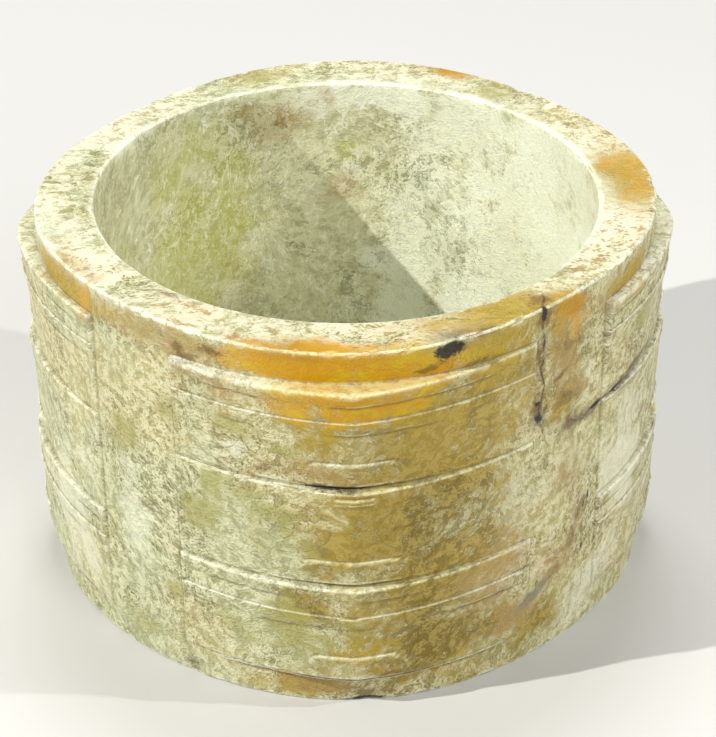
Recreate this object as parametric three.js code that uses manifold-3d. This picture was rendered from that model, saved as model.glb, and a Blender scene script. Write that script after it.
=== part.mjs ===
// A jade cong: a thick ring of stone, square-shouldered outside and round inside.
// Four corner panels stand proud of it, each carved in three tiers of bands and nose bars.
// Millimetres, +Z up, origin at the middle of the underside, one corner facing -Y.
import * as THREE from 'three';
import { mergeVertices } from 'three/addons/utils/BufferGeometryUtils.js';
import Module from 'manifold-3d';

// The ring: a round bore, and outside it a rounded square, a little narrower at the foot
const boreRadius = 31.5;
const wallThickness = 6.5;
const footNarrowing = 0.8;
const topSwell = 0.8;
const footSwell = 0.6;

// Heights, from the foot up
const footCollarHeight = 4.15;
const tierHeight = 14.05;
const topCollarHeight = 4.1;

// The corner panels, and the plain upright strips left between them
const stripWidth = 12.6;
const panelEdgeStep = 0.2;

// How far the corner ridge stands off the wall at the top and the foot of each tier, from the top down
const tiers = [
  { mask: true, ridgeTop: 2.4, ridgeFoot: 1.3 },
  { mask: false, ridgeTop: 2.1, ridgeFoot: 1.4 },
  { mask: true, ridgeTop: 1.95, ridgeFoot: 1.8 },
];

// The carving on a tier
const bandHeight = 1.7;
const bandGap = 2.4;
const bandRaise = 0.3;
const noseRaise = 0.4;
const noseHeight = 2.6;
const noseAboveTierFoot = 1.4;
const maskNoseWidth = 10.8;
const beastNoseWidth = 12.4;
const browBarWidth = 4.6;
const browBarHeight = 0.8;
const browBarBelowTierTop = 0.9;

// Facets
const ringFacets = 96;
const panelFacets = 18;
const barFacets = 6;

const cornerCount = 4;
const topRadius = boreRadius + wallThickness;
const footRadius = topRadius - footNarrowing;
const midWallRadius = (boreRadius + footRadius) / 2;
const height = footCollarHeight + tiers.length * tierHeight + topCollarHeight;
const cornerAngle = (2 * Math.PI) / cornerCount;
const stripHalfAngle = Math.asin(stripWidth / 2 / topRadius);
const panelHalfAngle = cornerAngle / 2 - stripHalfAngle;

const wasm = await Module();
wasm.setup();

function mix(from, to, share) {
  return from + (to - from) * share;
}

// Radius of the ring's outer wall. Angles run clockwise from above, with a corner at every cornerAngle
function wallRadius(angle, z) {
  const share = z / height;
  const swell = mix(footSwell, topSwell, share) * Math.cos(cornerCount * angle);
  return mix(footRadius, topRadius, share) + swell;
}

// Radius of a panel's plain field, which rises from its edges to the ridge at the corner
function fieldRadius(tier, tierFootZ, offAngle, z) {
  const ridge = mix(tier.ridgeFoot, tier.ridgeTop, (z - tierFootZ) / tierHeight);
  const nearness = Math.max(0, 1 - Math.abs(offAngle) / panelHalfAngle);
  return wallRadius(offAngle, z) + mix(panelEdgeStep, ridge, nearness * nearness);
}

// A closed solid from a geometry, with its shared vertices merged
function solidOf(geometry) {
  geometry.deleteAttribute('normal');
  geometry.deleteAttribute('uv');
  const merged = mergeVertices(geometry, 1e-4);
  return new wasm.Manifold(new wasm.Mesh({
    numProp: 3,
    vertProperties: new Float32Array(merged.attributes.position.array),
    triVerts: new Uint32Array(merged.index.array),
  }));
}

// The ring: a closed profile turned about the axis, then its outer wall drawn to the rounded square
function makeRing() {
  const profile = [
    new THREE.Vector2(boreRadius, 0),
    new THREE.Vector2(footRadius, 0),
    new THREE.Vector2(topRadius, height),
    new THREE.Vector2(boreRadius, height),
    new THREE.Vector2(boreRadius, 0),
  ];
  const geometry = new THREE.LatheGeometry(profile, ringFacets);
  geometry.rotateX(Math.PI / 2);
  const position = geometry.attributes.position;
  for (let i = 0; i < position.count; i += 1) {
    const x = position.getX(i);
    const y = position.getY(i);
    const z = position.getZ(i);
    const radius = Math.hypot(x, y);
    const scale = radius > midWallRadius ? wallRadius(Math.atan2(x, y), z) / radius : 1;
    position.setXYZ(i, x * scale, y * scale, z);
  }
  return solidOf(geometry);
}

// A block bent round one corner, from the middle of the wall out to the tier's field plus a raise
function cornerBlock(corner, tier, tierFootZ, block) {
  const geometry = new THREE.BoxGeometry(1, 1, 1, block.facets, 1, 1);
  const position = geometry.attributes.position;
  for (let i = 0; i < position.count; i += 1) {
    const offAngle = 2 * position.getX(i) * block.halfAngle;
    const z = mix(block.low, block.high, position.getZ(i) + 0.5);
    const surface = fieldRadius(tier, tierFootZ, offAngle, z) + block.raise;
    const radius = position.getY(i) > 0 ? surface : midWallRadius;
    const angle = corner * cornerAngle + offAngle;
    position.setXYZ(i, radius * Math.sin(angle), radius * Math.cos(angle), z);
  }
  return solidOf(geometry);
}

// The angle that half a bar's width takes up on the corner ridge
function halfAngleOf(width) {
  return Math.asin(width / 2 / (topRadius + topSwell));
}

// Every block of one tier on one corner: the field, then its bands, brow bar and nose bar
function tierBlocks(tier, tierFootZ) {
  const tierTopZ = tierFootZ + tierHeight;
  const whole = { halfAngle: panelHalfAngle, facets: panelFacets };
  const bar = { facets: barFacets, raise: noseRaise };
  const blocks = [{ ...whole, low: tierFootZ, high: tierTopZ, raise: 0 }];
  if (tier.mask) {
    for (let band = 0; band < 2; band += 1) {
      const high = tierTopZ - band * (bandHeight + bandGap);
      blocks.push({ ...whole, low: high - bandHeight, high, raise: bandRaise });
    }
  } else {
    const high = tierTopZ - browBarBelowTierTop;
    blocks.push({ ...bar, halfAngle: halfAngleOf(browBarWidth), low: high - browBarHeight, high });
  }
  const noseWidth = tier.mask ? maskNoseWidth : beastNoseWidth;
  const low = tierFootZ + noseAboveTierFoot;
  blocks.push({ ...bar, halfAngle: halfAngleOf(noseWidth), low, high: low + noseHeight });
  return blocks;
}

function makeCong() {
  let cong = makeRing();
  for (let corner = 0; corner < cornerCount; corner += 1) {
    tiers.forEach((tier, index) => {
      const tierFootZ = footCollarHeight + (tiers.length - 1 - index) * tierHeight;
      for (const block of tierBlocks(tier, tierFootZ)) {
        cong = cong.add(cornerBlock(corner, tier, tierFootZ, block));
      }
    });
  }
  return cong;
}

function meshOf(name, solid, material) {
  const { vertProperties, triVerts } = solid.getMesh();
  const geometry = new THREE.BufferGeometry();
  geometry.setAttribute('position', new THREE.BufferAttribute(new Float32Array(vertProperties), 3));
  geometry.setIndex(new THREE.BufferAttribute(new Uint32Array(triVerts), 1));
  geometry.computeVertexNormals();
  const mesh = new THREE.Mesh(geometry, material);
  mesh.name = name;
  return mesh;
}

const jade = new THREE.MeshStandardMaterial({ color: 0xc9c797, roughness: 0.38, metalness: 0 });

const cong = new THREE.Group();
cong.add(meshOf('jade_cong', makeCong(), jade));

export default cong;
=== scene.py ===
# Jade cong: a carved stone ring on a pale floor. Metres, +Z up, corner ridges on the X and Y axes.
import math
from types import SimpleNamespace

import bpy
import numpy as np
from mathutils import Matrix, Vector


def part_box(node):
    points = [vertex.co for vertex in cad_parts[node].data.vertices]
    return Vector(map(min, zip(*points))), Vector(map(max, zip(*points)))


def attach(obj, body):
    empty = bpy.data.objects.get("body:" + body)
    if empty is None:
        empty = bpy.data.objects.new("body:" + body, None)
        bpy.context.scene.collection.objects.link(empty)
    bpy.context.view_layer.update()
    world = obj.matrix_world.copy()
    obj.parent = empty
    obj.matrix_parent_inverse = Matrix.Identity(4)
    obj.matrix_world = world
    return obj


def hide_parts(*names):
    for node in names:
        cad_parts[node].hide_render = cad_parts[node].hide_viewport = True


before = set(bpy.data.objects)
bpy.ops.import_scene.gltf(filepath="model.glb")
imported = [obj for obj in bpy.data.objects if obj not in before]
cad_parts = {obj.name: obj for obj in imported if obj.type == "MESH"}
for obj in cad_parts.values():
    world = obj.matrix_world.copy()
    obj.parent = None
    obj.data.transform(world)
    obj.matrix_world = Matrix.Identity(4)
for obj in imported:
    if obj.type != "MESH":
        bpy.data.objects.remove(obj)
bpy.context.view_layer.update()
mm = 0.001
nodeName = "jade_cong"
nodeLow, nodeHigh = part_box(nodeName)
height = nodeHigh.z - nodeLow.z

# The stone's sizes. Corners run front, right, back, left, and left is as seen from outside
stone = dict(
    bore=31.5 * mm, wall=6.5 * mm, footNarrowing=0.8 * mm,
    topSwell=0.8 * mm,  # how far the corners stand off a circle
    footSwell=0.6 * mm,
    oval=0.3 * mm,  # the outside is a touch longer one way, in degrees off the front
    ovalTurn=-53.0, boreOval=0.28 * mm, boreOvalTurn=45.9,
    boreWaist=0.25 * mm,  # a hair narrower where the two drillings met
    boreWaistAt=0.47, boreWaistSpread=0.16, footCollar=4.15 * mm, tier=14.05 * mm,
    topCollar=4.1 * mm, edgeRound=0.35 * mm, edgeTurns=(0.0, 22.0, 45.0, 68.0, 90.0),
    leftEdges=(34.4, 34.0, 35.3, 35.3),  # degrees from each ridge to its panel's left edge
    rightEdges=(36.2, 35.3, 35.3, 35.1),
    leftStep=(0.55, 1.1, 1.0, 1.0),  # how far each panel's edges stand against the tiers' sizes
    rightStep=(0.6, 1.0, 1.0, 1.1),
    ridgeShare=(1.12, 0.95, 1.0, 1.03),  # how sharp each corner stands against the plain sizes
    ridgeRound=0.9,  # degrees
    ridgeSink=0.6,
    panelEnd=0.985,  # share of the way to a panel's edge where it drops to the wall
)
# The grid: columns, how much closer they stand at each edge, and rows up the collars, top and bore
grid = dict(
    panelColumns=(110, 84, 76, 84),
    panelCrowding=1.15, stripColumns=16, stripCrowding=0.1,
    footCollarRows=(0.2, 0.35, 0.5, 0.65, 0.8, 0.93),
    topCollarRows=(0.08, 0.2, 0.35, 0.5, 0.65, 0.8),
    topLedgeSteps=5, topSteps=12, boreRows=34, footRows=(0.25, 0.5, 0.75),
)
# Tiers from the top down: is it a mask, how high its ridge and edges stand over the wall at its top and foot,
# how much more its left edge stands out at each corner, and how far its top edge is worn back: everywhere,
# further on the left, and the next row's share of it
tiers = [
    dict(mask=True, ridgeTop=2.4 * mm, ridgeFoot=1.25 * mm, edgeTop=0.55 * mm, edgeFoot=0.08 * mm,
         leftMore=(3.0, 1.7, 1.7, 1.7), worn=0.26 * mm, wornLeft=0.22 * mm, wornNext=0.3),
    dict(mask=False, ridgeTop=2.1 * mm, ridgeFoot=1.4 * mm, edgeTop=0.38 * mm, edgeFoot=0.08 * mm,
         leftMore=(1.0, 1.0, 1.0, 1.0), worn=0.16 * mm, wornLeft=0.0, wornNext=0.0),
    dict(mask=True, ridgeTop=1.95 * mm, ridgeFoot=1.8 * mm, edgeTop=0.36 * mm, edgeFoot=0.12 * mm,
         leftMore=(1.2, 1.1, 1.1, 1.1), worn=0.16 * mm, wornLeft=0.0, wornNext=0.0),
]
# Places are shares of a tier's height from its top. Eyes: mm off the ridge, share down, half width and height
carving = dict(
    bands=((0.0, 0.12), (0.29, 0.41)), bandRaise=0.28 * mm, bandTopSoft=0.012,
    bandFootSoft=(0.05, 0.03),  # inside and outside the band's foot
    bandFalling=0.35,  # share of its height that it loses towards its foot
    groove=(0.012, 0.018),  # the fine groove below a band
    grooveSoft=0.008, grooveDepth=0.3 * mm,
    grooveShows=(0.7, 0.3),  # it fades out where the wear is below the first
    noseTop=0.715, noseFoot=0.885, noseRaise=0.32 * mm,
    noseFading=0.85,  # it ends nearly flush at its foot
    maskNose=5.4 * mm,  # half width
    beastNose=6.2 * mm, brow=(0.06, 0.115), browHalf=2.3 * mm, browAgainstNose=0.5,
    gap=0.35 * mm,  # depth of the groove under a tier
    gapHigh=0.03,
    gapAtEdge=0.3,  # share of that depth at the panel's edge
    gapRight=(2.0, 10.0),  # it gets shallower over these degrees right of the ridge
    gapRightLess=0.5,
    worn=0.78,  # how much of the carving's height is left on average
    wornSwing=0.22, wornSize=4.0 * mm,
    leftFrom=(-6.0, -16.0),  # degrees off the ridge where the more worn left sets in
    ledgeRise=0.05 * mm,  # slope of the ledge over a tier
    lineDepth=0.07,  # of the incised lines, in millimetres
    lineHalf=0.11, maskEye=(15.4, 0.64, 1.5, 1.5), maskPupil=(15.4, 0.64, 0.55, 0.55),
    beastEye=(8.6, 0.42, 6.0, 3.7),
    beastPupil=(8.9, 0.40, 2.1, 2.1),
    beastEyeRaise=0.07 * mm,
)
eyeLines = ("maskEye", "maskPupil", "beastEye", "beastPupil")
# Wear of the whole surface: depths, and each noise's size in mm, weight and seed
wearing = dict(
    wave=0.09 * mm, waveNoises=((11.0, 0.6, 62), (4.5, 0.4, 63)), fine=0.022 * mm,
    fineNoises=((1.7, 1.0, 64), (0.8, 0.6, 65)),
    nibble=0.14 * mm,  # bites out of the edges
    nibbleSize=1.3, dentTear=0.25, dentTearSize=0.9,
)
faceRadius = stone["bore"] + stone["wall"]
cornerCount = 4
quarter = 90.0


def ease(low, high, value):
    # smooth step: 0 below low, 1 above high, and a cubic ease between
    share = np.clip((value - low) / (high - low), 0.0, 1.0)
    return share * share * (3.0 - 2.0 * share)


def between(low, high, soft, value):
    # 1 from low to high, easing off over a soft width outside them
    return ease(low - soft, low, value) * (1.0 - ease(high, high + soft, value))


def spaceNoise(points, step, seed):
    # random values on a cubic lattice of a given step, eased between neighbours, from -1 to 1
    latticeSize, shiftClear = 32, 100.0
    table = np.random.default_rng(seed).uniform(-1.0, 1.0, (latticeSize,) * 3)
    place = points / step + shiftClear
    cell = np.floor(place).astype(int)
    share = ease(0.0, 1.0, place - cell)
    total = np.zeros(points.shape[:-1])
    for corner in range(8):
        shift = np.array([corner & 1, corner >> 1 & 1, corner >> 2])
        weight = np.prod(np.where(shift == 1, share, 1.0 - share), axis=-1)
        at = (cell + shift) % latticeSize
        total += weight * table[at[..., 0], at[..., 1], at[..., 2]]
    return total


def layeredNoise(points, step, seed):
    # four octaves of noise, each half the size and strength of the last, from about -1 to 1
    return sum(spaceNoise(points, step * mm / 2 ** n, seed + n) / 2 ** n for n in range(4)) / 1.3


def columnAngles():
    # corner by corner: the panel's columns from left to right, closer at its edges, then the strip's
    angles = []
    for corner in range(cornerCount):
        left = -stone["leftEdges"][corner]
        right = stone["rightEdges"][corner]
        nextLeft = quarter - stone["leftEdges"][(corner + 1) % cornerCount]
        across = np.linspace(-1.0, 1.0, grid["panelColumns"][corner], endpoint=False)
        across = np.sign(across) * (1.0 - (1.0 - np.abs(across)) ** grid["panelCrowding"])
        panel = np.where(across < 0, -across * left, across * right)
        share = np.arange(grid["stripColumns"]) / grid["stripColumns"]
        strip = right + (nextLeft - right) * (share - grid["stripCrowding"] * np.sin(2 * np.pi * share))
        angles.append(corner * quarter + np.concatenate([panel, strip]))
    return np.radians(np.concatenate(angles))


def wallRadius(angle, z):
    # rounded square: mean radius and swell both change evenly from foot to top, plus a slight oval
    share = z / height
    mean = faceRadius - stone["footNarrowing"] * (1.0 - share)
    swell = stone["footSwell"] + (stone["topSwell"] - stone["footSwell"]) * share
    oval = stone["oval"] * np.cos(2 * (angle - math.radians(stone["ovalTurn"])))
    return mean + swell * np.cos(cornerCount * angle) + oval


def boreRadius(angle, z):
    # round, a touch oval, and narrower about half way up by a bell curve
    oval = stone["boreOval"] * np.cos(2 * (angle - math.radians(stone["boreOvalTurn"])))
    fromWaist = (z / height - stone["boreWaistAt"]) / stone["boreWaistSpread"]
    return stone["bore"] + oval - stone["boreWaist"] * np.exp(-fromWaist ** 2)


def panelPlace(angle):
    # a column's corner, its distance and degrees off that ridge, and the degrees from there to the edge
    degrees = np.degrees(angle)
    corner = np.floor((degrees + quarter / 2) / quarter).astype(int) % cornerCount
    off = (degrees + quarter / 2) % quarter - quarter / 2
    across = np.radians(off) * faceRadius
    return corner, across, off, byCorner(stone["leftEdges"], stone["rightEdges"], corner, off)


def byCorner(left, right, corner, off):
    # each column's value out of two lists of four, for the left and the right of the ridge
    return np.where(off < 0, np.array(left)[corner], np.array(right)[corner])


def wearAt(angle, z):
    # how much of the carving's height is left at a place: an average and a slow noise
    ring = np.stack([np.sin(angle), -np.cos(angle), 0.0 * angle], axis=-1) * stone["bore"]
    ring[..., 2] = z
    return carving["worn"] + carving["wornSwing"] * spaceNoise(ring, carving["wornSize"], 40)


def bandRelief(share, wear):
    # two bands, crisp on top and falling off towards the foot, each over a fine groove that comes and goes
    footIn, footOut = carving["bandFootSoft"]
    grooveLow, grooveHigh = carving["groove"]
    showsFrom, showsOver = carving["grooveShows"]
    relief = 0.0
    for low, high in carving["bands"]:
        band = ease(low - carving["bandTopSoft"], low, share)
        band = band * (1.0 - ease(high - footIn, high + footOut, share))
        falling = 1.0 - carving["bandFalling"] * (share - low) / (high - low)
        groove = between(high + grooveLow, high + grooveHigh, carving["grooveSoft"], share)
        groove = groove * np.clip(wear - showsFrom, 0.0, showsOver)
        relief = relief + carving["bandRaise"] * wear * falling * band - carving["grooveDepth"] * groove
    return relief


def browRelief(across, share):
    # the middle tier's small brow bar, and the low swell of its two eyes
    low, high = carving["brow"]
    ends = 1.0 - ease(0.9, 1.05, np.abs(across) / carving["browHalf"])
    brow = between(low, high, carving["bandTopSoft"], share) * ends
    eyeAcross, eyeShare, eyeHalf, eyeHalfHigh = carving["beastEye"]
    fromEye = np.hypot((np.abs(across) / mm - eyeAcross) / eyeHalf,
                       (share - eyeShare) * stone["tier"] / mm / eyeHalfHigh)
    eye = carving["beastEyeRaise"] * (1.0 - ease(0.85, 1.05, fromEye))
    return carving["browAgainstNose"] * carving["noseRaise"] * brow + eye


def noseRelief(across, share, half):
    # a bar with round ends, by the distance past its straight core, that fades to nearly flush at its foot
    middle = 0.5 * (carving["noseTop"] + carving["noseFoot"])
    halfHigh = 0.5 * (carving["noseFoot"] - carving["noseTop"])
    slimness = half / (halfHigh * stone["tier"])
    past = np.maximum(np.abs(across / half) * slimness - (slimness - 1.0), 0.0)
    down = (share - middle) / halfHigh
    bar = 1.0 - ease(0.88, 1.08, np.sqrt(past ** 2 + down ** 2))
    return carving["noseRaise"] * bar * (1.0 - carving["noseFading"] * ease(-0.8, 1.0, down))


def panelRelief(angle, tierIndex, share):
    # a panel's height over the wall: a ridge that falls off as a square, the carving, less the groove below
    tier = tiers[tierIndex]
    corner, across, off, edge = panelPlace(angle)
    softened = np.sqrt(off ** 2 + stone["ridgeRound"] ** 2) - stone["ridgeSink"] * stone["ridgeRound"]
    nearness = np.clip(1.0 - softened / edge, 0.0, 1.0) ** 2
    ridge = tier["ridgeTop"] + (tier["ridgeFoot"] - tier["ridgeTop"]) * share
    ridge = ridge * np.array(stone["ridgeShare"])[corner]
    edgeTop = tier["edgeTop"] * byCorner(tier["leftMore"], (1.0,) * cornerCount, corner, off)
    low = edgeTop + (tier["edgeFoot"] - edgeTop) * share
    low = low * byCorner(stone["leftStep"], stone["rightStep"], corner, off)
    wear = wearAt(angle, tierTop(tierIndex) - share * stone["tier"])
    carved = bandRelief(share, wear) if tier["mask"] else browRelief(across, share)
    nose = wear * noseRelief(across, share, carving["maskNose"] if tier["mask"] else carving["beastNose"])
    gap = ease(1.0 - 1.6 * carving["gapHigh"], 1.0 - 0.6 * carving["gapHigh"], share) * carving["gap"]
    gap = gap * (carving["gapAtEdge"] + (1.0 - carving["gapAtEdge"]) * nearness)
    gap = gap * (1.0 - carving["gapRightLess"] * ease(*carving["gapRight"], off))
    return (low + (ridge - low) * nearness + carved + nose - gap) * onPanel(off, edge)


def onPanel(off, edge):
    # 1 on a panel, easing to 0 just inside its edge
    return 1.0 - ease(stone["panelEnd"], 1.0, np.abs(off) / edge)


def tierShares(mask):
    # shares down a tier where the grid has a row: close together at each carved edge
    if mask:
        upper = [0.0, 0.008, 0.03, 0.06, 0.09, 0.112, 0.122, 0.134, 0.16, 0.19, 0.22, 0.25, 0.27, 0.28, 0.29,
                 0.30, 0.32, 0.35, 0.38, 0.402, 0.412, 0.424, 0.45, 0.48, 0.51, 0.54, 0.57, 0.60, 0.63, 0.66]
    else:
        upper = [0.0, 0.008, 0.025, 0.045, 0.055, 0.065, 0.08, 0.095, 0.11, 0.12, 0.14, 0.17, 0.2, 0.23, 0.26,
                 0.29, 0.32, 0.35, 0.38, 0.41, 0.44, 0.47, 0.5, 0.53, 0.56, 0.59, 0.62, 0.65]
    lower = [0.685, 0.7, 0.71, 0.72, 0.735, 0.76, 0.785, 0.81, 0.835, 0.86, 0.875, 0.885, 0.895, 0.91,
             0.93, 0.95, 0.962, 0.974, 0.986, 1.0]
    return upper + lower


def tierTop(tierIndex):
    return height - stone["topCollar"] - tierIndex * stone["tier"]


def sectionRows(angle):
    # the section, as rows of radius and height: up the outside, in over the top, down the bore and out below
    rows = []
    off, edge = panelPlace(angle)[2:]
    corner = stone["edgeRound"]
    arc = [(1 - math.sin(turn), 1 - math.cos(turn)) for turn in np.radians(stone["edgeTurns"])]

    def addRow(radius, z):
        rows.append((radius + 0.0 * angle, z + 0.0 * angle))

    def addUpTo(radius, z, steps):
        # even steps from the last row to a new one, the new one included
        fromRadius, fromZ = rows[-1]
        for step in range(1, steps + 1):
            addRow(fromRadius + (radius - fromRadius) * step / steps, fromZ + (z - fromZ) * step / steps)

    def addTier(tierIndex):
        # from the tier's foot up: a sloping ledge below it, its carving, and its worn top edge
        tier = tiers[tierIndex]
        worn = (tier["worn"] + tier["wornLeft"] * ease(*carving["leftFrom"], off)) * onPanel(off, edge)
        shares = tierShares(tier["mask"])
        for share in reversed(shares):
            z = tierTop(tierIndex) - share * stone["tier"]
            radius = wallRadius(angle, z) + panelRelief(angle, tierIndex, share)
            if share == shares[-1]:
                addUpTo(radius, z + carving["ledgeRise"], 2)
            elif share == shares[0]:
                addRow(radius - 0.6 * worn, z - 0.04 * mm)
                addRow(radius - worn, z)
            elif share == shares[1]:
                addRow(radius - tier["wornNext"] * worn, z)
            else:
                addRow(radius, z)

    def addEdge(radius, inward, z, upward, turns):
        # a rounded edge: its rows stand in and up from a corner by the two sides of the arc
        for inShare, upShare in turns:
            addRow(radius + inward * corner * inShare, z + upward * corner * upShare)

    def addCollar(foot, tall, shares):
        for share in shares:
            z = foot + tall * share
            addRow(wallRadius(angle, z), z)

    collarFoot = tierTop(0)
    addEdge(wallRadius(angle, 0.0), -1, 0.0, 1, arc)
    addCollar(0.0, stone["footCollar"], grid["footCollarRows"])
    for tierIndex in reversed(range(len(tiers))):
        addTier(tierIndex)
    addUpTo(wallRadius(angle, collarFoot), collarFoot + carving["ledgeRise"], grid["topLedgeSteps"])
    addCollar(collarFoot, stone["topCollar"], grid["topCollarRows"])
    addEdge(wallRadius(angle, height), -1, height, -1, reversed(arc))
    addUpTo(boreRadius(angle, height) + corner, height, grid["topSteps"])
    addEdge(boreRadius(angle, height), 1, height, -1, arc[1:])
    for share in np.linspace(0.02, 0.98, grid["boreRows"]):
        z = height * (1 - share)
        addRow(boreRadius(angle, z), z)
    addEdge(boreRadius(angle, 0.0), 1, 0.0, 1, reversed(arc))
    inner, outer = rows[-1][0], rows[0][0]
    for share in grid["footRows"]:
        addRow(inner + (outer - inner) * share, 0.0)
    return np.array(rows).swapaxes(0, 1)


def gridNormals(points):
    # outward normals: the cross product of the centred steps along the columns and up the rows
    alongRing = np.roll(points, -1, axis=1) - np.roll(points, 1, axis=1)
    alongSection = np.roll(points, -1, axis=0) - np.roll(points, 1, axis=0)
    normals = np.cross(alongRing, alongSection)
    return normals / np.maximum(np.linalg.norm(normals, axis=2, keepdims=True), 1e-12)


def gridBend(points, normals):
    # how sharply the surface turns, per millimetre: positive on edges, negative in corners
    total = np.zeros(points.shape[:2])
    for axis, weight in ((0, 1.0), (1, 0.5)):
        back = np.roll(points, 1, axis=axis) - points
        ahead = np.roll(points, -1, axis=axis) - points
        backLength = np.linalg.norm(back, axis=2)
        aheadLength = np.linalg.norm(ahead, axis=2)
        lean = back / backLength[..., None] + ahead / aheadLength[..., None]
        total -= weight * np.sum(lean * normals, axis=2) / (0.5 * (backLength + aheadLength) / mm + 0.1)
    return total


def ringPoint(angleDegrees, radius, z):
    # a place from its angle off the front ridge, its distance off the axis and its height
    turn = math.radians(angleDegrees)
    return np.array([radius * math.sin(turn), -radius * math.cos(turn), z])

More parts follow.
